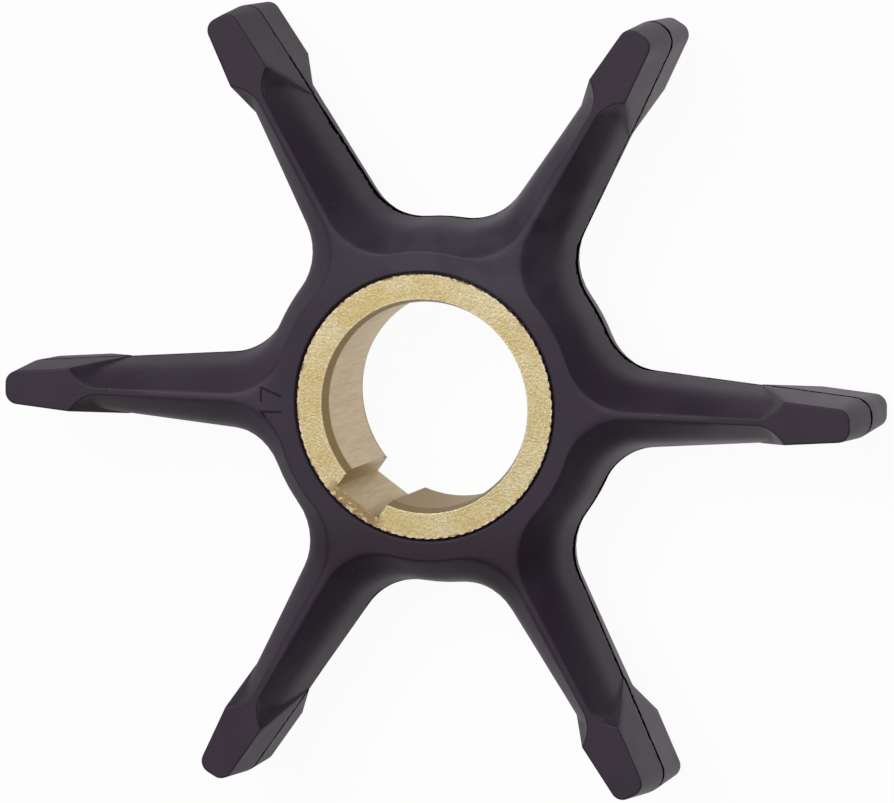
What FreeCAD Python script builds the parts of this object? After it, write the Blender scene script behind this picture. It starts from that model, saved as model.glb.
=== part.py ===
import FreeCAD, Part
import math
import os

os.makedirs("parts", exist_ok=True)

# Flexible-vane water-pump impeller: a rubber star moulded round a knurled,
# keyed brass hub insert. Millimetres, axis along +Z, back face on Z = 0, first
# vane along +X. Both halves are mirror images about the mould's parting plane.

# overall
VANES = 6
AXIAL_WIDTH = 12.7
TIP_RADIUS = 40.8
PITCH_DEG = 360.0 / VANES
MID_PLANE = AXIAL_WIDTH / 2

# star outline at the parting plane
HUB_RADIUS = 17.0
ROOT_FILLET = 5.8
VANE_HALF_AT_ROOT = 3.6
ROOT_STATION = 20.0
VANE_TAPER = 0.088
TIP_CORNER = 1.8

# mould draft towards the end faces, and the fine groove left by the trimmed flash
FACE_DRAFT = 0.35
FACE_TIP_CORNER = 1.15
GROOVE = 0.18

# relief of the vane sides: a bevel from the end face down to a soft knee, then a
# steep wall out to the parting plane; shares are of the full sideways step
RIDGE_HALF = 0.33
FACE_HUB_RADIUS = 14.3
FACE_FILLET = 6.0
KNEE_DEPTH = 2.7
KNEE_SHARE = 0.77
KNEE_SOFTNESS = 0.09
KNEE_SPREAD = 0.7
FACE_OVERRUN = 0.5
RELIEF_LEVELS = (
    -FACE_OVERRUN,
    KNEE_DEPTH / 3,
    KNEE_DEPTH - KNEE_SPREAD,
    KNEE_DEPTH,
    KNEE_DEPTH + KNEE_SPREAD,
    (KNEE_DEPTH + KNEE_SPREAD + MID_PLANE) / 2,
    MID_PLANE,
)
RELIEF_DEGREE = 3
RELIEF_REACH = 52.0

# shoulder where the relief runs out against the paddle: an arc on the end face from
# the ridge to the paddle edge, slanting back along the vane as it goes deeper
SHOULDER_START = (31.5, 0.3)
SHOULDER_EDGE = (34.3, 1.95)
SHOULDER_BULGE = 0.38
SHOULDER_SLANT = FreeCAD.Vector(-0.7, 0.02, -1)
SHOULDER_REACH = 14.0
SHOULDER_OVERRUN = 2.0

# knurled brass insert
KNURL_TEETH = 90
KNURL_TIP_RADIUS = 12.3
KNURL_ROOT_RADIUS = 12.14
BORE_RADIUS = 9.525
LEAD_IN = 0.36
LEAD_IN_DEPTH = 1.4
KEY_WIDTH = 4.8
KEY_FLOOR = 11.15
KEY_ANGLE_DEG = 235.2
BOND_GROOVE = 0.2
BOND_GROOVE_DEPTH = 0.35

AXIS = FreeCAD.Vector(0, 0, 1)
ORIGIN = FreeCAD.Vector(0, 0, 0)


def polar(radius, angle_deg, z=0.0):
    """Point at a radius and an angle about the axis."""
    angle = math.radians(angle_deg)
    return FreeCAD.Vector(radius * math.cos(angle), radius * math.sin(angle), z)


def turned(point, angle_deg):
    """The point turned about the axis."""
    return FreeCAD.Rotation(AXIS, angle_deg).multVec(point)


def mirrored(point):
    """The point mirrored across the XZ plane."""
    return FreeCAD.Vector(point.x, -point.y, point.z)


def arc(start, middle, end):
    return Part.Arc(start, middle, end).toShape()


def side_intercept(growth=0.0):
    """Where the line of the vane side at the parting plane crosses the Y axis."""
    return VANE_HALF_AT_ROOT + VANE_TAPER * ROOT_STATION + growth


def root_fillet(hub_radius, fillet, intercept, slope, z):
    """Fillet between the hub circle and the vane side y = intercept - slope * x.

    Returns its end on the hub, its middle point and its end on the vane side.
    """
    level = intercept + fillet * math.sqrt(1 + slope ** 2)
    reach = hub_radius + fillet
    a = 1 + slope ** 2
    b = -2 * level * slope
    c = level ** 2 - reach ** 2
    x = (-b + math.sqrt(b ** 2 - 4 * a * c)) / (2 * a)
    y = level - slope * x
    centre = FreeCAD.Vector(x, y, z)
    to_hub = FreeCAD.Vector(-x, -y, 0).normalize()
    to_side = FreeCAD.Vector(-slope, -1, 0).normalize()
    to_middle = (to_hub + to_side).normalize()
    return tuple(centre + way * fillet for way in (to_hub, to_middle, to_side))


def star_wire(z, growth, tip_corner):
    """Closed outline of hub and vanes, grown outward everywhere by growth."""
    intercept = side_intercept(growth)
    hub_radius = HUB_RADIUS + growth
    hub, fillet_mid, arm = root_fillet(
        hub_radius, ROOT_FILLET - growth, intercept, VANE_TAPER, z
    )
    lean = math.atan(VANE_TAPER)
    turn_deg = 90 - math.degrees(lean)
    x = TIP_RADIUS + growth - tip_corner
    y = intercept - VANE_TAPER * x - tip_corner / math.cos(lean)
    corner = FreeCAD.Vector(x, y, z)
    side_end, corner_mid, tip_end = (
        corner + polar(tip_corner, turn) for turn in (turn_deg, turn_deg / 2, 0)
    )
    left = (tip_end, corner_mid, side_end, arm, fillet_mid, hub)
    right = tuple(mirrored(point) for point in reversed(left))
    valley = polar(hub_radius, PITCH_DEG / 2, z)
    next_root = turned(right[0], PITCH_DEG)

    edges = []
    for vane in range(VANES):
        r = [turned(point, vane * PITCH_DEG) for point in right]
        l = [turned(point, vane * PITCH_DEG) for point in left + (valley, next_root)]
        edges += [
            arc(r[0], r[1], r[2]),
            Part.makeLine(r[2], r[3]),
            arc(r[3], r[4], r[5]),
            Part.makeLine(r[5], l[0]),
            arc(l[0], l[1], l[2]),
            Part.makeLine(l[2], l[3]),
            arc(l[3], l[4], l[5]),
            arc(l[5], l[6], l[7]),
        ]
    return Part.Wire(edges)


def relief_share(depth):
    """How far out the relieved side stands: 0 at the end face, 1 at the parting plane."""
    bevel = KNEE_SHARE * depth / KNEE_DEPTH
    wall = 1 - (1 - KNEE_SHARE) * (MID_PLANE - depth) / (MID_PLANE - KNEE_DEPTH)
    return (bevel + wall) / 2 - math.hypot((bevel - wall) / 2, KNEE_SOFTNESS)


def relief_wire(depth):
    """Outline of the hollow between two vanes at a depth, the gap centred on +X."""
    share = relief_share(depth)
    z = AXIAL_WIDTH - depth
    slope = VANE_TAPER * share
    intercept = RIDGE_HALF + (side_intercept() - RIDGE_HALF) * share
    hub_radius = FACE_HUB_RADIUS + (HUB_RADIUS - FACE_HUB_RADIUS) * share
    fillet = FACE_FILLET + (ROOT_FILLET - FACE_FILLET) * share
    hub, fillet_mid, arm = root_fillet(hub_radius, fillet, intercept, slope, z)
    outer = FreeCAD.Vector(RELIEF_REACH, intercept - slope * RELIEF_REACH, z)
    low = [turned(point, -PITCH_DEG / 2) for point in (outer, arm, fillet_mid, hub)]
    high = [mirrored(point) for point in low]
    return Part.Wire([
        Part.makeLine(low[0], low[1]),
        arc(low[1], low[2], low[3]),
        arc(low[3], FreeCAD.Vector(hub_radius, 0, z), high[3]),
        arc(high[3], high[2], high[1]),
        Part.makeLine(high[1], high[0]),
        Part.makeLine(high[0], low[0]),
    ])


def paddle_keeper():
    """Slanted prism that shields the paddle of the +X vane from the relief above it."""
    start = FreeCAD.Vector(*SHOULDER_START, AXIAL_WIDTH)
    edge = FreeCAD.Vector(*SHOULDER_EDGE, AXIAL_WIDTH)
    chord = edge - start
    outward = FreeCAD.Vector(chord.y, -chord.x, 0).normalize()
    middle = (start + edge) / 2 + outward * SHOULDER_BULGE
    shoulder = Part.Arc(start, middle, edge)
    beyond = edge + shoulder.tangent(shoulder.LastParameter)[0] * SHOULDER_REACH
    high_outer = FreeCAD.Vector(RELIEF_REACH + SHOULDER_REACH, beyond.y, AXIAL_WIDTH)
    low_outer = mirrored(high_outer)
    low_start = FreeCAD.Vector(start.x, low_outer.y, AXIAL_WIDTH)
    loop = (edge, beyond, high_outer, low_outer, low_start, start)
    sides = [Part.makeLine(a, b) for a, b in zip(loop, loop[1:])]
    face = Part.Face(Part.Wire([shoulder.toShape()] + sides))
    face.translate(SHOULDER_SLANT * -1)
    return face.extrude(SHOULDER_SLANT * (MID_PLANE + SHOULDER_OVERRUN))


def relief_cutter():
    """Solid taken out of one gap on the front half, the gap centred on +X."""
    levels = [relief_wire(depth) for depth in RELIEF_LEVELS]
    hollow = Part.makeLoft(levels, True, False, False, RELIEF_DEGREE)
    low = paddle_keeper()
    low.rotate(ORIGIN, AXIS, -PITCH_DEG / 2)
    high = low.mirror(ORIGIN, FreeCAD.Vector(0, 1, 0))
    return hollow.cut([low, high])


def knurled_prism(length):
    """Prism with sharp axial teeth, standing on Z = 0."""
    step = 360.0 / KNURL_TEETH
    points = []
    for tooth in range(KNURL_TEETH):
        points.append(polar(KNURL_TIP_RADIUS, tooth * step))
        points.append(polar(KNURL_ROOT_RADIUS, (tooth + 0.5) * step))
    points.append(points[0])
    return Part.Face(Part.makePolygon(points)).extrude(AXIS * length)


def on_both_faces(shape):
    """The shape at the front face and its mirror image at the back face."""
    return [shape, shape.mirror(FreeCAD.Vector(0, 0, MID_PLANE), AXIS)]


def end_cone(radius, widening, depth):
    """Cone that opens by a widening over the last depth below the front face."""
    foot = FreeCAD.Vector(0, 0, AXIAL_WIDTH - depth)
    return Part.makeCone(radius, radius + widening, depth, foot)


def rubber_impeller():
    levels = (
        (0.0, -FACE_DRAFT, FACE_TIP_CORNER),
        (MID_PLANE - GROOVE, 0.0, TIP_CORNER),
        (MID_PLANE, -GROOVE, TIP_CORNER - GROOVE),
        (MID_PLANE + GROOVE, 0.0, TIP_CORNER),
        (AXIAL_WIDTH, -FACE_DRAFT, FACE_TIP_CORNER),
    )
    star = Part.makeLoft([star_wire(*level) for level in levels], True, True)
    cutter = relief_cutter()
    cutters = []
    for gap in range(VANES):
        turned_cutter = cutter.copy()
        turned_cutter.rotate(ORIGIN, AXIS, (gap + 0.5) * PITCH_DEG)
        cutters += on_both_faces(turned_cutter)
    lip = end_cone(KNURL_TIP_RADIUS, BOND_GROOVE, BOND_GROOVE_DEPTH)
    return star.cut(cutters).cut([knurled_prism(AXIAL_WIDTH)] + on_both_faces(lip))


def brass_hub_insert():
    bore = Part.makeCylinder(BORE_RADIUS, AXIAL_WIDTH)
    lead_in = end_cone(BORE_RADIUS, LEAD_IN, LEAD_IN_DEPTH)
    keyway = Part.makeBox(
        KEY_FLOOR, KEY_WIDTH, AXIAL_WIDTH, FreeCAD.Vector(0, -KEY_WIDTH / 2, 0)
    )
    keyway.rotate(ORIGIN, AXIS, KEY_ANGLE_DEG)
    return knurled_prism(AXIAL_WIDTH).cut([bore, keyway] + on_both_faces(lead_in))


for name, shape in (
    ("rubber_impeller", rubber_impeller()),
    ("brass_hub_insert", brass_hub_insert()),
):
    shape.Solids[0].exportStep("parts/" + name + ".step")
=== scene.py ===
"""Dressed scene of a flexible-vane pump impeller: a rubber star on a knurled brass insert."""

import logging
import math
from dataclasses import dataclass, field
from enum import Enum

import bpy
from mathutils import Matrix, Vector

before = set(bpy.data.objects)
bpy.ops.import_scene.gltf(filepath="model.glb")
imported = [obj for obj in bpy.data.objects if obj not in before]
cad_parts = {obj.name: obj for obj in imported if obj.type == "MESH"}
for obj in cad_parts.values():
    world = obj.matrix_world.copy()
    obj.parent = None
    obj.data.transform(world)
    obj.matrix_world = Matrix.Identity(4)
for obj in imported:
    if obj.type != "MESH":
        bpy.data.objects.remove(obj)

logging.basicConfig(level=logging.INFO, format="%(message)s")
LOG = logging.getLogger("impeller")

MM = 0.001
AXIAL_WIDTH = 12.7 * MM
MID_PLANE = AXIAL_WIDTH / 2
WHITE = (1.0, 1.0, 1.0)


class Sum(Enum):
    """The sums that a Math node does here."""

    ADD = "ADD"
    SUBTRACT = "SUBTRACT"
    MULTIPLY = "MULTIPLY"
    DIVIDE = "DIVIDE"
    SIZE = "ABSOLUTE"
    ROOT = "SQRT"
    LEAST = "MINIMUM"
    MOST = "MAXIMUM"


class Output(Enum):
    """The closing node of each kind of node tree."""

    MATERIAL = "ShaderNodeOutputMaterial"
    WORLD = "ShaderNodeOutputWorld"


class Ray(Enum):
    """The kinds of ray that a Light Path node tells apart here."""

    CAMERA = "Is Camera Ray"
    GLOSSY = "Is Glossy Ray"
    TRANSMISSION = "Is Transmission Ray"


class Value:
    """A shader socket that Python's operators can do sums with."""

    def __init__(self, sheet: "Sheet", socket: bpy.types.NodeSocket) -> None:
        """Wraps one output socket.

        Args:
            sheet: The sheet that the socket belongs to.
            socket: The output socket.
        """
        self.sheet = sheet
        self.socket = socket

    def _maths(self, kind: Sum, *values: "Value | float") -> "Value":
        """Adds a Math node.

        Args:
            kind: The sum.
            *values: What it works on, in order.

        Returns:
            The node's result.
        """
        return self.sheet.node("ShaderNodeMath", {"operation": kind.value}, dict(enumerate(values)))

    def __add__(self, other: "Value | float") -> "Value":
        """Sum."""
        return self._maths(Sum.ADD, self, other)

    __radd__ = __add__

    def __sub__(self, other: "Value | float") -> "Value":
        """Difference."""
        return self._maths(Sum.SUBTRACT, self, other)

    def __rsub__(self, other: "Value | float") -> "Value":
        """Difference with this value taken away."""
        return self._maths(Sum.SUBTRACT, other, self)

    def __mul__(self, other: "Value | float") -> "Value":
        """Product."""
        return self._maths(Sum.MULTIPLY, self, other)

    __rmul__ = __mul__

    def __truediv__(self, other: "Value | float") -> "Value":
        """Quotient."""
        return self._maths(Sum.DIVIDE, self, other)

    def __abs__(self) -> "Value":
        """Size without sign."""
        return self._maths(Sum.SIZE, self)

    def root(self) -> "Value":
        """Square root."""
        return self._maths(Sum.ROOT, self)

    def least(self, other: "Value | float") -> "Value":
        """The smaller of two values."""
        return self._maths(Sum.LEAST, self, other)

    def most(self, other: "Value | float") -> "Value":
        """The larger of two values."""
        return self._maths(Sum.MOST, self, other)


@dataclass(frozen=True)
class Ramp:
    """Smooth change from one number to another while a value crosses a range."""

    low: float
    high: float
    start: float = 0.0
    end: float = 1.0

    def of(self, value: Value) -> Value:
        """The number that belongs to a value.

        Args:
            value: The value that crosses the range.

        Returns:
            The start's number before the range, the end's past it, and a smooth blend between.
        """
        settings = {"interpolation_type": "SMOOTHSTEP"}
        inputs = {
            "Value": value,
            "From Min": self.low,
            "From Max": self.high,
            "To Min": self.start,
            "To Max": self.end,
        }
        return value.sheet.node("ShaderNodeMapRange", settings, inputs)


@dataclass(frozen=True)
class Mottle:
    """Smooth noise: how fine it is, how many finer layers it holds and how strong they are."""

    scale: float
    layers: float = 2.0
    strength: float = 0.5


class Sheet:
    """A node tree under construction: one method adds any node, others build common parts."""

    def __init__(self, owner: bpy.types.Material | bpy.types.World, output: Output) -> None:
        """Empties the owner's node tree.

        Args:
            owner: The material or world.
            output: The tree's closing node.
        """
        owner.use_nodes = True
        self.owner = owner
        self.output = output
        self.tree = owner.node_tree
        self.tree.nodes.clear()
        self._axes: tuple[Value, Value, Value] | None = None

    @classmethod
    def of_material(cls, name: str) -> "Sheet":
        """Starts a new material."""
        return cls(bpy.data.materials.new(name), Output.MATERIAL)

    def add(self, kind: str, settings: dict, inputs: dict) -> bpy.types.Node:
        """Adds a node.

        Args:
            kind: The node's type.
            settings: Its properties.
            inputs: Values or links for its sockets, by name or number.

        Returns:
            The node.
        """
        node = self.tree.nodes.new(kind)
        for key, value in settings.items():
            setattr(node, key, value)
        for key, value in inputs.items():
            if isinstance(value, Value):
                self.tree.links.new(value.socket, node.inputs[key])
            else:
                node.inputs[key].default_value = value
        return node

    def node(self, kind: str, settings: dict, inputs: dict, output: int | str = 0) -> Value:
        """Adds a node and gives one of its outputs.

        Args:
            kind: The node's type.
            settings: Its properties.
            inputs: Values or links for its sockets, by name or number.
            output: Which output to return.

        Returns:
            The chosen output.
        """
        return Value(self, self.add(kind, settings, inputs).outputs[output])

    @property
    def place(self) -> Value:
        """Object coordinates, in metres."""
        return self.node("ShaderNodeTexCoord", {}, {}, "Object")

    @property
    def axes(self) -> tuple[Value, Value, Value]:
        """Object X, Y and Z, in metres."""
        if self._axes is None:
            parts = self.add("ShaderNodeSeparateXYZ", {}, {0: self.place})
            self._axes = tuple(Value(self, out) for out in parts.outputs)
        return self._axes

    def from_axis(self) -> Value:
        """Distance from the impeller's axis."""
        x, y, _ = self.axes
        return (x * x + y * y).root()

    def below_face(self) -> Value:
        """Depth below the nearer end face."""
        _, _, z = self.axes
        return z.least(AXIAL_WIDTH - z)

    def ray(self, kind: Ray) -> Value:
        """1 for rays of one kind, 0 for the others."""
        return self.node("ShaderNodeLightPath", {}, {}, kind.value)

    def noise(self, mottle: Mottle, place: Value | None = None) -> Value:
        """Smooth noise between 0 and 1.

        Args:
            mottle: How fine and rough it is.
            place: Where it is read, the object's own coordinates if not given.

        Returns:
            The noise value.
        """
        inputs = {
            "Vector": place or self.place,
            "Scale": mottle.scale,
            "Detail": mottle.layers,
            "Roughness": mottle.strength,
        }
        return self.node("ShaderNodeTexNoise", {}, inputs)

    def mix(self, amount: Value | float, first: Value | tuple, second: Value | tuple) -> Value:
        """Blends two colours.

        Args:
            amount: 0 for the first, 1 for the second.
            first: A colour.
            second: A colour.

        Returns:
            The blended colour.
        """
        settings = {"data_type": "RGBA"}
        one, other = (c if isinstance(c, Value) else (*c, 1.0) for c in (first, second))
        return self.node("ShaderNodeMix", settings, {0: amount, 6: one, 7: other}, 2)

    def between(self, amount: Value, first: Value, second: Value) -> Value:
        """Blends two vectors: 0 for the first, 1 for the second."""
        return self.node("ShaderNodeMix", {"data_type": "VECTOR"}, {0: amount, 4: first, 5: second}, 1)

    def bump(self, height: Value, depth: float, under: Value) -> Value:
        """Turns a height between 0 and 1 into a normal.

        Args:
            height: The height.
            depth: Height of 1 in metres.
            under: The normal to build on.

        Returns:
            The normal.
        """
        inputs = {"Strength": 1.0, "Distance": depth, "Height": height, "Normal": under}
        return self.node("ShaderNodeBump", {}, inputs)

    def soft_edges(self, radius: float) -> Value:
        """A normal that rounds the edges of the shape, by a radius in metres."""
        return self.node("ShaderNodeBevel", {"samples": 6}, {"Radius": radius})

    def principled(self, inputs: dict) -> Value:
        """A Principled shader with the sockets given."""
        return self.node("ShaderNodeBsdfPrincipled", {}, inputs)

    def glow(self, strength: float, tint: tuple = WHITE) -> Value:
        """A plain glow, white unless tinted."""
        return self.node("ShaderNodeEmission", {}, {"Color": (*tint, 1.0), "Strength": strength})

    def blend(self, amount: Value, first: Value, second: Value) -> Value:
        """Blends two shaders: 0 for the first, 1 for the second."""
        return self.node("ShaderNodeMixShader", {}, {0: amount, 1: first, 2: second})

    def finish(self, shader: Value) -> bpy.types.Material | bpy.types.World:
        """Closes the tree with a shader.

        Args:
            shader: The shader.

        Returns:
            The finished material or world.
        """
        self.add(self.output.value, {}, {"Surface": shader})
        return self.owner


@dataclass(frozen=True)
class Heading:
    """Direction seen along the impeller's axis, with sums for places along and across it."""

    degrees: float

    def along(self, x: Value, y: Value) -> Value:
        """Distance along the direction."""
        turn = math.radians(self.degrees)
        return x * math.cos(turn) + y * math.sin(turn)

    def across(self, x: Value, y: Value) -> Value:
        """Distance to the left of the direction."""
        turn = math.radians(self.degrees)
        return y * math.cos(turn) - x * math.sin(turn)


@dataclass(frozen=True)
class CavityNumber:
    """Plain number in thin sunk strokes on the hub's front face, read along its heading.

    Each stroke is a pair of (along, up) ends, in halves of the characters' height.
    """

    centre: tuple = (-14.75 * MM, -0.2 * MM)
    heading: Heading = Heading(91.6)
    half_height: float = 0.92 * MM
    half_stroke: float = 0.085 * MM
    stroke_edge: tuple = (0.6, 1.3)
    depth: float = 0.12 * MM
    front_side: Ramp = Ramp(MID_PLANE, AXIAL_WIDTH * 0.99)
    strokes: tuple = (
        ((-1.55, 0.62), (-1.05, 1.0)),
        ((-1.05, 1.0), (-1.05, -1.0)),
        ((0.1, 1.0), (1.4, 1.0)),
        ((1.4, 1.0), (0.55, -1.0)),
    )

    def mask(self, sheet: Sheet) -> Value:
        """Marks the strokes.

        Args:
            sheet: The material sheet.

        Returns:
            1 on the strokes of the front face, 0 elsewhere.
        """
        x, y, z = sheet.axes
        from_x, from_y = x - self.centre[0], y - self.centre[1]
        along = self.heading.along(from_x, from_y) / self.half_height
        up = self.heading.across(from_x, from_y) / self.half_height
        nearest = self._distance(along, up, *self.strokes[0])
        for start, end in self.strokes[1:]:
            nearest = nearest.least(self._distance(along, up, start, end))
        width = self.half_stroke / self.half_height
        inner, outer = self.stroke_edge
        return Ramp(width * inner, width * outer, 1.0, 0.0).of(nearest) * self.front_side.of(z)

    @staticmethod
    def _distance(along: Value, up: Value, start: tuple, end: tuple) -> Value:
        """Distance from one straight stroke.

        Args:
            along: Place along the number.
            up: Place up the number.
            start: The stroke's first end.
            end: The stroke's last end.

        Returns:
            The distance.
        """
        run, rise = end[0] - start[0], end[1] - start[1]
        from_along, from_up = along - start[0], up - start[1]
        share = (from_along * run + from_up * rise) / (run**2 + rise**2)
        held = share.most(0.0).least(1.0)
        off_along, off_up = from_along - held * run, from_up - held * rise
        return (off_along * off_along + off_up * off_up).root()


@dataclass(frozen=True)
class VaneStretch:
    """Stretch of a vane, between two distances from the axis, where the flash was treated alike."""

    heading: Heading
    start: float
    end: float
    strength: float
    fade: float = 3.0 * MM
    half_width: float = 7.0 * MM
    side_fade: float = 1.0 * MM

    def mask(self, sheet: Sheet) -> Value:
        """Marks the stretch.

        Args:
            sheet: The material sheet.

        Returns:
            The strength on the stretch, 0 outside it.
        """
        x, y, _ = sheet.axes
        along = self.heading.along(x, y)
        across = abs(self.heading.across(x, y))
        opening = Ramp(self.start, self.start + self.fade)
        closing = Ramp(self.end, self.end + self.fade, 1.0, 0.0)
        sides = Ramp(self.half_width, self.half_width + self.side_fade, self.strength, 0.0)
        return opening.of(along) * closing.of(along) * sides.of(across)


@dataclass(frozen=True)
class FlashLine:
    """Torn line that the trimmed flash leaves at the parting plane, matt and painted near black:
    painted shade for the shadow in its groove, over a band wider than the groove.

    It is widest in the valleys, comes and goes along the vanes and is nearly gone where trimmed.
    """

    half_width: float = 0.27 * MM
    half_width_in_valley: float = 0.42 * MM
    ragged_extra: float = 0.18 * MM
    valley: Ramp = Ramp(19.0 * MM, 21.85 * MM, 1.0, 0.0)
    fray: float = 0.6 * MM
    fray_noise: Mottle = Mottle(1700.0, 3.0, 0.65)
    dash_noise: Mottle = Mottle(800.0)
    dash_lift: float = 0.3
    dash: Ramp = Ramp(0.56, 0.64, 0.0, 0.6)
    untrimmed_share: float = 0.6
    edge: Ramp = Ramp(0.8, 1.2, 1.0, 0.0)
    trimmed: tuple = (
        VaneStretch(Heading(120.0), 33.0 * MM, 41.0 * MM, 0.95),
        VaneStretch(Heading(60.0), 22.0 * MM, 31.0 * MM, 0.55),
        VaneStretch(Heading(0.0), 21.0 * MM, 30.0 * MM, 0.6),
        VaneStretch(Heading(240.0), 18.0 * MM, 29.0 * MM, 0.9),
    )
    ragged: VaneStretch = VaneStretch(Heading(120.0), 15.0 * MM, 27.0 * MM, 1.0)

    def mask(self, sheet: Sheet) -> Value:
        """Marks the line.

        Args:
            sheet: The material sheet.

        Returns:
            1 on the line, 0 elsewhere.
        """
        _, _, z = sheet.axes
        in_valley = self.valley.of(sheet.from_axis())
        ragged = self.ragged.mask(sheet)
        half_width = in_valley * (self.half_width_in_valley - self.half_width)
        half_width = half_width + self.half_width + ragged * self.ragged_extra
        fray = (sheet.noise(self.fray_noise) - 0.5) * self.fray
        share = (abs(z - MID_PLANE) + fray * (1.0 + ragged)) / half_width
        return self.edge.of(share) * self._presence(sheet).most(in_valley)

    def _presence(self, sheet: Sheet) -> Value:
        """How much of the line is left along the vanes.

        Args:
            sheet: The material sheet.

        Returns:
            1 where the line is whole, 0 where it is gone.
        """
        clean = self.trimmed[0].mask(sheet)
        for stretch in self.trimmed[1:]:
            clean = clean.most(stretch.mask(sheet))
        left = 1.0 - clean
        dashes = self.dash.of(sheet.noise(self.dash_noise) + left * self.dash_lift)
        return (left * self.untrimmed_share + dashes).least(1.0)


@dataclass(frozen=True)
class SoftEdges:
    """Rounding of the rubber's edges: slight, more round the hub and most on the shoulders."""

    crisp_radius: float = 0.28 * MM
    soft_radius: float = 1.3 * MM
    below_face: Ramp = Ramp(0.25 * MM, 0.7 * MM)
    shoulder_start: Ramp = Ramp(28.5 * MM, 29.5 * MM)
    shoulder_end: Ramp = Ramp(34.5 * MM, 35.5 * MM, 1.0, 0.0)
    hub_start: Ramp = Ramp(14.0 * MM, 15.0 * MM)
    hub_end: Ramp = Ramp(26.0 * MM, 28.0 * MM, 0.55, 0.0)

    def normal(self, sheet: Sheet) -> Value:
        """The normal with rounded edges.

        Args:
            sheet: The material sheet.

        Returns:
            The normal.
        """
        radius = sheet.from_axis()
        on_shoulder = self.below_face.of(sheet.below_face())
        on_shoulder = on_shoulder * (self.shoulder_start.of(radius) * self.shoulder_end.of(radius))
        on_hub = self.hub_start.of(radius) * self.hub_end.of(radius)
        crisp = sheet.soft_edges(self.crisp_radius)
        soft = sheet.soft_edges(self.soft_radius)
        return sheet.between(on_shoulder.most(on_hub), crisp, soft)


@dataclass(frozen=True)
class MarksAndPaintedShade:
    """Lighter patches over the upper side of the hub, wear on one vane and painted shade that darkens
    the hub's lower side.
    """

    lighter_upper: tuple = (0.056, 0.047, 0.066)
    lighter_upper_around: Ramp = Ramp(20.0 * MM, 28.0 * MM, 1.0, 0.0)
    lighter_upper_along_x: Ramp = Ramp(-8.0 * MM, -1.0 * MM, 0.4, 1.0)
    lighter_upper_along_y: Ramp = Ramp(5.0 * MM, 13.0 * MM)
    lighter_upper_noise: Mottle = Mottle(330.0, 1.0)
    lighter_upper_patches: Ramp = Ramp(0.35, 0.6, 0.45, 1.0)
    wear: tuple = (0.050, 0.037, 0.056)
    wear_share: float = 0.8
    wear_start: Ramp = Ramp(-30.0 * MM, -25.0 * MM)
    wear_end: Ramp = Ramp(-17.0 * MM, -13.0 * MM, 1.0, 0.0)
    wear_across: Ramp = Ramp(7.0 * MM, 9.0 * MM, 1.0, 0.0)
    lower_shade: tuple = (0.016, 0.009, 0.015)
    lower_shade_around: Ramp = Ramp(16.5 * MM, 20.0 * MM, 1.0, 0.0)
    lower_shade_along_y: Ramp = Ramp(-15.0 * MM, -8.0 * MM, 1.0, 0.0)

    def over(self, sheet: Sheet, colour: Value) -> Value:
        """Lays the marks and the painted shade over a colour.

        Args:
            sheet: The material sheet.
            colour: The colour so far.

        Returns:
            The marked colour.
        """
        x, y, _ = sheet.axes
        radius = sheet.from_axis()
        worn = self.wear_start.of(x) * self.wear_end.of(x) * self.wear_across.of(abs(y))
        # lighter, uneven patches over the upper side of the hub
        lighter_upper_share = self.lighter_upper_around.of(radius) * self.lighter_upper_along_y.of(y) * self.lighter_upper_along_x.of(x)
        lighter_upper_share = lighter_upper_share * self.lighter_upper_patches.of(sheet.noise(self.lighter_upper_noise))
        # painted shade: the lower side of the hub darkened
        lower_shade = self.lower_shade_around.of(radius) * self.lower_shade_along_y.of(y)
        colour = sheet.mix(worn * self.wear_share, colour, self.wear)
        colour = sheet.mix(lighter_upper_share, colour, self.lighter_upper)
        return sheet.mix(lower_shade, colour, self.lower_shade)


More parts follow.
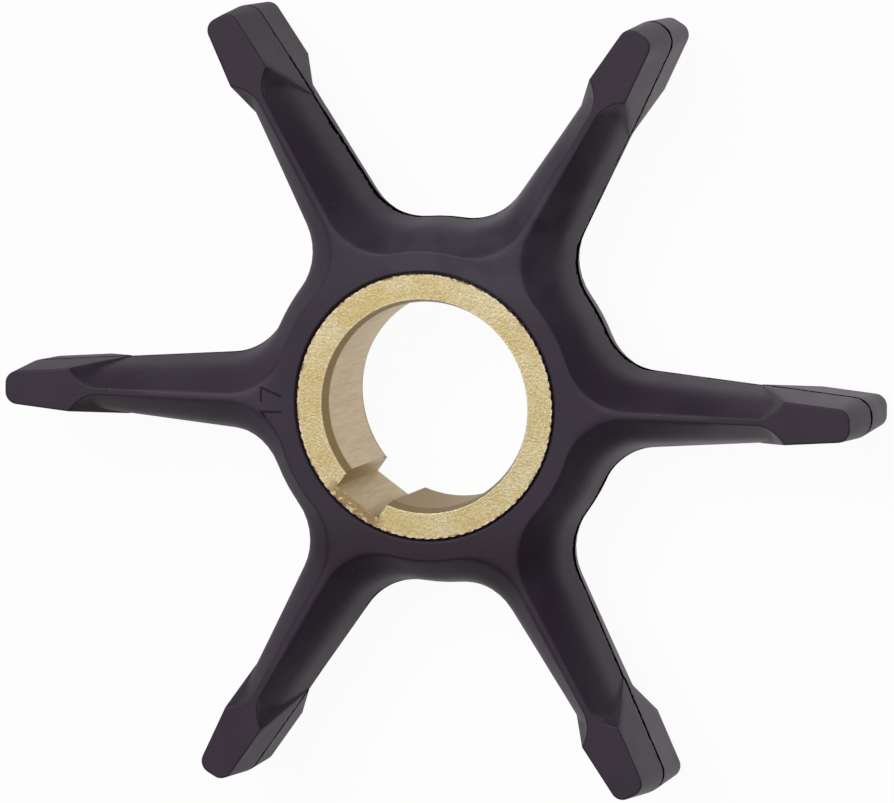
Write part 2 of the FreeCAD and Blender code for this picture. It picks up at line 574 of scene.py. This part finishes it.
@dataclass(frozen=True)
class MouldedRubber:
    """Black moulded rubber with a slight purple bloom, the trimmed flash's line painted near black as
    shade in its groove, and painted shade in the number's strokes.
    """

    skin: tuple = (0.030, 0.0185, 0.033)
    bloom: tuple = (0.038, 0.025, 0.042)
    bloom_noise: Mottle = Mottle(150.0, 3.0, 0.6)
    bloom_patches: Ramp = Ramp(0.35, 0.7)
    cool: tuple = (0.025, 0.023, 0.033)
    cool_noise: Mottle = Mottle(260.0, 1.0)
    cool_patches: Ramp = Ramp(0.52, 0.7, 0.0, 0.4)
    dust: tuple = (0.12, 0.11, 0.115)
    dust_noise: Mottle = Mottle(1900.0, 1.0)
    dust_specks: Ramp = Ramp(0.77, 0.8, 0.0, 0.4)
    # painted shade: near black, for the shadow in the parting-line groove and in the number's sunk
    # strokes
    recess_shade: tuple = (0.003, 0.002, 0.003)
    number_shade: float = 0.95
    roughness: float = 0.5
    roughness_swing: float = 0.18
    gloss: float = 0.42
    gloss_tint: tuple = (1.0, 0.9, 1.0, 1.0)
    grain_noise: Mottle = Mottle(2600.0, 3.0, 0.6)
    grain_depth: float = 0.012 * MM
    torn_roughness: float = 0.9
    edges: SoftEdges = field(default_factory=SoftEdges)
    marks: MarksAndPaintedShade = field(default_factory=MarksAndPaintedShade)
    number: CavityNumber = field(default_factory=CavityNumber)
    flash: FlashLine = field(default_factory=FlashLine)

    def material(self) -> bpy.types.Material:
        """Builds the material.

        Returns:
            The material.
        """
        sheet = Sheet.of_material("moulded_rubber")
        bloom = sheet.noise(self.bloom_noise)
        number = self.number.mask(sheet)
        normal = sheet.bump(1.0 - number, self.number.depth, self.edges.normal(sheet))
        skin = sheet.principled(
            {
                "Base Color": self._colour(sheet, bloom, number),
                "Roughness": self.roughness + (bloom - 0.5) * self.roughness_swing,
                "Normal": sheet.bump(sheet.noise(self.grain_noise), self.grain_depth, normal),
                "Specular IOR Level": self.gloss,
                "Specular Tint": self.gloss_tint,
            }
        )
        # painted shade: the flash line is matt and painted near black as the shadow in its groove
        torn = sheet.principled(
            {
                "Base Color": (*self.recess_shade, 1.0),
                "Roughness": self.torn_roughness,
                "Specular IOR Level": 0.0,
            }
        )
        return sheet.finish(sheet.blend(self.flash.mask(sheet), skin, torn))

    def _colour(self, sheet: Sheet, bloom: Value, number: Value) -> Value:
        """The skin's colour with its bloom, marks, painted shade, dust and number.

        Args:
            sheet: The material sheet.
            bloom: The noise of the bloom.
            number: 1 on the number's strokes, 0 elsewhere.

        Returns:
            The colour.
        """
        cool = self.cool_patches.of(sheet.noise(self.cool_noise))
        dust = self.dust_specks.of(sheet.noise(self.dust_noise))
        colour = sheet.mix(self.bloom_patches.of(bloom), self.skin, self.bloom)
        colour = sheet.mix(cool, colour, self.cool)
        colour = self.marks.over(sheet, colour)
        colour = sheet.mix(dust, colour, self.dust)
        # painted shade: the number's sunk strokes darkened nearly black
        return sheet.mix(number * self.number_shade, colour, self.recess_shade)


@dataclass(frozen=True)
class TornLand:
    """Thin land of the insert's face outside the keyway, torn by the cutter."""

    heading: Heading = Heading(235.2)
    outward: Ramp = Ramp(10.65 * MM, 10.85 * MM)
    across: Ramp = Ramp(2.16 * MM, 3.6 * MM, 1.0, 0.0)
    scraped: Ramp = Ramp(0.5, 0.62, 0.85, 0.1)

    def mask(self, sheet: Sheet, points: Value) -> Value:
        """Marks the land.

        Args:
            sheet: The material sheet.
            points: The noise that leaves single points of it bright.

        Returns:
            How torn the land is, 0 outside it.
        """
        x, y, _ = sheet.axes
        on_land = self.outward.of(self.heading.along(x, y))
        on_land = on_land * self.across.of(abs(self.heading.across(x, y)))
        return on_land * self.scraped.of(points)


@dataclass(frozen=True)
class InsertFace:
    """The insert's turned end face: grained, polished at the bore's mouth with a painted highlight
    there, burred at the rim, and painted shadow over the knurl's tips.
    """

    metal: tuple = (0.72, 0.57, 0.28)
    pale: tuple = (0.82, 0.71, 0.45)
    dull: tuple = (0.46, 0.34, 0.14)
    worn: tuple = (0.30, 0.19, 0.10)
    burred: tuple = (0.86, 0.70, 0.52)
    gap_shadow: tuple = (0.015, 0.009, 0.006)
    cloud_noise: Mottle = Mottle(260.0, 3.0, 0.6)
    cloud_patches: Ramp = Ramp(0.3, 0.7)
    grain_patches: Ramp = Ramp(0.35, 0.75, 0.0, 0.7)
    burr_noise: Mottle = Mottle(900.0, 2.0, 0.6)
    burr_middle: float = 0.42
    burr_reach: float = 0.48 * MM
    mouth: Ramp = Ramp(9.885 * MM, 10.045 * MM, 1.0, 0.0)
    mouth_highlight_share: float = 0.8
    rim: Ramp = Ramp(12.0 * MM, 12.16 * MM, 0.0, 0.85)
    rim_burr_share: float = 0.6
    rim_noise: Mottle = Mottle(1500.0, 2.0, 0.6)
    rim_points: Ramp = Ramp(0.42, 0.52)
    # painted shadow: the band where the knurl's tips stand in the gap under the rubber
    sunk: Ramp = Ramp(12.19 * MM, 12.24 * MM)
    gap_shadow_burr_share: float = 0.3
    land: TornLand = field(default_factory=TornLand)

    def burrs(self, sheet: Sheet) -> Value:
        """How far the face's edges wander, in metres."""
        return (sheet.noise(self.burr_noise) - self.burr_middle) * self.burr_reach

    def mouth_polish_and_highlight(self, sheet: Sheet) -> Value:
        """1 at the bore's mouth, 0 farther out."""
        return self.mouth.of(sheet.from_axis() - self.burrs(sheet))

    def colour(self, sheet: Sheet, grain: Value) -> Value:
        """The face's colour.

        Args:
            sheet: The material sheet.
            grain: The noise of the metal's grain.

        Returns:
            The colour.
        """
        radius = sheet.from_axis()
        burrs = self.burrs(sheet)
        points = sheet.noise(self.rim_noise)
        cloud = self.cloud_patches.of(sheet.noise(self.cloud_noise))
        edge = sheet.mix(self.rim_points.of(points), self.worn, self.burred)
        face = sheet.mix(cloud, self.metal, self.pale)
        face = sheet.mix(self.grain_patches.of(grain), face, self.dull)
        # painted highlight: the face paled at the bore's mouth as a bright inner edge; the polish
        # itself lowers the roughness
        face = sheet.mix(self.mouth_polish_and_highlight(sheet) * self.mouth_highlight_share, face, self.pale)
        face = sheet.mix(self.rim.of(radius + burrs * self.rim_burr_share), face, edge)
        face = sheet.mix(self.land.mask(sheet, points), face, self.worn)
        # painted shadow: the knurl's tips painted near black as the shadow in the gap between brass
        # and rubber
        return sheet.mix(self.sunk.of(radius + burrs * self.gap_shadow_burr_share), face, self.gap_shadow)


@dataclass(frozen=True)
class InsertBore:
    """The insert's drawn bore and keyway with painted shade on the lead-ins and on the lower part."""

    drawn: tuple = (0.78, 0.67, 0.44)
    streaked: tuple = (0.46, 0.34, 0.14)
    bore_shaded_low: tuple = (0.38, 0.28, 0.12)
    shaded: tuple = (0.38, 0.29, 0.13)
    streak_noise: Mottle = Mottle(3000.0, 2.0, 0.6)
    streak_stretch: float = 0.08
    streaks: Ramp = Ramp(0.3, 0.7, 0.0, 0.3)
    shaded_lower_side: Ramp = Ramp(-0.95, -0.83, 1.0, 0.0)
    lead_in_depth: Ramp = Ramp(1.33 * MM, 1.4 * MM, 1.0, 0.0)
    lead_in_start: Ramp = Ramp(9.535 * MM, 9.575 * MM)
    lead_in_end: Ramp = Ramp(9.855 * MM, 9.885 * MM, 1.0, 0.0)

    def colour(self, sheet: Sheet) -> Value:
        """The bore's colour.

        Args:
            sheet: The material sheet.

        Returns:
            The colour.
        """
        x, y, z = sheet.axes
        radius = sheet.from_axis()
        stretched = sheet.node("ShaderNodeCombineXYZ", {}, {0: x, 1: y, 2: z * self.streak_stretch})
        streaks = self.streaks.of(sheet.noise(self.streak_noise, stretched))
        lead_in = self.lead_in_depth.of(sheet.below_face())
        lead_in = lead_in * self.lead_in_start.of(radius) * self.lead_in_end.of(radius)
        wall = sheet.mix(streaks, self.drawn, self.streaked)
        # painted shade: the lower side of the bore darkened
        wall = sheet.mix(self.shaded_lower_side.of(y / radius), wall, self.bore_shaded_low)
        return sheet.mix(lead_in, wall, self.shaded)


@dataclass(frozen=True)
class MachinedBrass:
    """Turned brass with a grained face and a drawn bore."""

    roughness: float = 0.42
    grain_roughness: float = 0.3
    polish_gloss: float = 0.08
    bore_roughness: float = 0.16
    grain_noise: Mottle = Mottle(4200.0, 4.0, 0.7)
    grain_depth: float = 0.02 * MM
    edge_radius: float = 0.04 * MM
    below_face: Ramp = Ramp(0.03 * MM, 0.09 * MM)
    face: InsertFace = field(default_factory=InsertFace)
    bore: InsertBore = field(default_factory=InsertBore)

    def material(self) -> bpy.types.Material:
        """Builds the material.

        Returns:
            The material.
        """
        sheet = Sheet.of_material("machined_brass")
        grain = sheet.noise(self.grain_noise)
        inside = self.below_face.of(sheet.below_face())
        colour = sheet.mix(inside, self.face.colour(sheet, grain), self.bore.colour(sheet))
        rough = self.roughness + (grain - 0.5) * self.grain_roughness
        rough = rough - self.face.mouth_polish_and_highlight(sheet) * self.polish_gloss + inside * self.bore_roughness
        normal = sheet.bump(grain, self.grain_depth, sheet.soft_edges(self.edge_radius))
        shader = sheet.principled(
            {"Base Color": colour, "Metallic": 1.0, "Roughness": rough, "Normal": normal}
        )
        return sheet.finish(shader)


@dataclass(frozen=True)
class PaleFloor:
    """White floor that keeps a soft shadow; for reflections it glows as painted reflection, dimmer on
    the left than the right, faintly purple, and fading to a dim room far away.
    """

    colour: tuple = (0.93, 0.93, 0.93)
    seen_glow: float = 0.955
    left_glow: float = 0.62
    right_glow: float = 1.0
    far_glow: float = 0.1
    reflected_glow_tint: tuple = (1.0, 0.96, 1.0)
    side: Ramp = Ramp(-28.0 * MM, 18.0 * MM)
    far: Ramp = Ramp(38.0 * MM, 82.0 * MM)

    def material(self) -> bpy.types.Material:
        """Builds the material.

        Returns:
            The material.
        """
        sheet = Sheet.of_material("pale_floor")
        x, _, _ = sheet.axes
        seen = sheet.ray(Ray.CAMERA).most(sheet.ray(Ray.TRANSMISSION))
        matt = sheet.node("ShaderNodeBsdfDiffuse", {}, {"Color": (*self.colour, 1.0)})
        white = sheet.blend(seen * self.seen_glow, matt, sheet.glow(1.0))
        # painted reflection: for glossy rays the floor glows, dimmer to the left than to the right,
        # tinted faintly purple
        left = sheet.glow(self.left_glow, self.reflected_glow_tint)
        right = sheet.glow(self.right_glow, self.reflected_glow_tint)
        near = sheet.blend(self.side.of(x), left, right)
        reflected = sheet.blend(self.far.of(sheet.from_axis()), near, sheet.glow(self.far_glow))
        return sheet.finish(sheet.blend(sheet.ray(Ray.GLOSSY), white, reflected))


def dress(piece: bpy.types.Object, material: bpy.types.Material) -> None:
    """Gives a piece one material all over.

    Args:
        piece: The piece.
        material: The material.
    """
    piece.data.materials.clear()
    piece.data.materials.append(material)


@dataclass(frozen=True)
class SoftLamp:
    """Square soft lamp that looks at the impeller: direction in degrees, side in metres, watts."""

    name: str
    azimuth: float
    elevation: float
    size: float
    power: float
    distance: float = 1.6

    def hang(self) -> None:
        """Adds the lamp to the scene."""
        azimuth, elevation = math.radians(self.azimuth), math.radians(self.elevation)
        flat = math.cos(elevation)
        towards = Vector((math.cos(azimuth) * flat, math.sin(azimuth) * flat, math.sin(elevation)))
        lamp = bpy.data.lights.new(self.name, "AREA")
        lamp.size = self.size
        lamp.energy = self.power
        holder = bpy.data.objects.new(self.name, lamp)
        holder.location = towards * self.distance
        holder.rotation_euler = (-towards).to_track_quat("-Z", "Y").to_euler()
        bpy.context.scene.collection.objects.link(holder)


@dataclass
class Studio:
    """Floor, lamps and world, plain and soft: a weak lamp above, the main one at the upper left."""

    floor_size: float = 3.0
    floor_drop: float = 0.02 * MM
    ambient: float = 0.15
    floor: PaleFloor = field(default_factory=PaleFloor)
    lamps: tuple = (
        SoftLamp("lamp_overhead", 202.0, 76.0, 1.6, 1.1),
        SoftLamp("lamp_main", 130.0, 60.0, 0.9, 15.2),
    )

    def lay_floor(self) -> None:
        """Adds the floor just under the impeller's back face."""
        bpy.ops.object.select_all(action="DESELECT")
        bpy.ops.mesh.primitive_plane_add(size=self.floor_size, location=(0, 0, -self.floor_drop))
        floor = bpy.context.object
        floor.name = "floor"
        dress(floor, self.floor.material())

    def fill_world(self) -> None:
        """Gives the world a plain grey light that the camera sees as white."""
        world = bpy.data.worlds.new("studio_air")
        bpy.context.scene.world = world
        sheet = Sheet(world, Output.WORLD)
        backdrop = "ShaderNodeBackground"
        dim = sheet.node(backdrop, {}, {"Color": (*WHITE, 1.0), "Strength": self.ambient})
        white = sheet.node(backdrop, {}, {"Color": (*WHITE, 1.0)})
        sheet.finish(sheet.blend(sheet.ray(Ray.CAMERA), dim, white))

    def light(self) -> None:
        """Hangs the lamps."""
        for lamp in self.lamps:
            lamp.hang()


@dataclass
class Photographer:
    """Long-lens camera, nearly overhead, rolled as in the picture."""

    image_width: int = 894
    image_height: int = 803
    pixels_per_mm: float = 10.92
    hub_pixel: tuple = (424.1, 406.7)
    azimuth_deg: float = 22.6
    axis_ratio: float = 0.9489
    image_slant_deg: float = -21.0
    distance: float = 1.5
    sensor: float = 36.0
    clip_end: float = 20.0

    def set_up(self) -> None:
        """Places the camera so that the front face's centre falls on its pixel."""
        azimuth = math.radians(self.azimuth_deg)
        lean = math.acos(self.axis_ratio)
        outward = Vector((math.cos(azimuth), math.sin(azimuth), 0.0))
        across = Vector((-math.sin(azimuth), math.cos(azimuth), 0.0))
        up_axis = Vector((0.0, 0.0, 1.0))
        minor = outward * math.cos(lean) - up_axis * math.sin(lean)
        slant = math.radians(self.image_slant_deg)
        right = minor * math.cos(slant) + across * math.sin(slant)
        up = across * math.cos(slant) - minor * math.sin(slant)
        back = right.cross(up)

        offset_x = (self.image_width / 2 - self.hub_pixel[0]) / self.pixels_per_mm * MM
        offset_y = (self.hub_pixel[1] - self.image_height / 2) / self.pixels_per_mm * MM
        aim = Vector((0.0, 0.0, AXIAL_WIDTH)) + right * offset_x + up * offset_y

        lens = bpy.data.cameras.new("camera")
        lens.sensor_width = self.sensor
        lens.lens = self.pixels_per_mm * self.distance / MM / self.image_width * self.sensor
        lens.clip_end = self.clip_end
        camera = bpy.data.objects.new("camera", lens)
        turn = Matrix((right, up, back)).transposed()
        camera.matrix_world = Matrix.Translation(aim + back * self.distance) @ turn.to_4x4()
        bpy.context.scene.collection.objects.link(camera)
        bpy.context.scene.camera = camera


def main() -> None:
    """Builds the scene's pieces in order and reports each."""
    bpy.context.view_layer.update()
    dress(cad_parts["rubber_impeller"], MouldedRubber().material())
    LOG.info("rubber star dressed")
    dress(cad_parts["brass_hub_insert"], MachinedBrass().material())
    LOG.info("brass insert dressed")

    studio = Studio()
    studio.lay_floor()
    studio.fill_world()
    studio.light()
    LOG.info("studio set")
    Photographer().set_up()
    LOG.info("camera set")
    bpy.context.scene.view_settings.view_transform = "Standard"


if __name__ == "__main__":
    main()
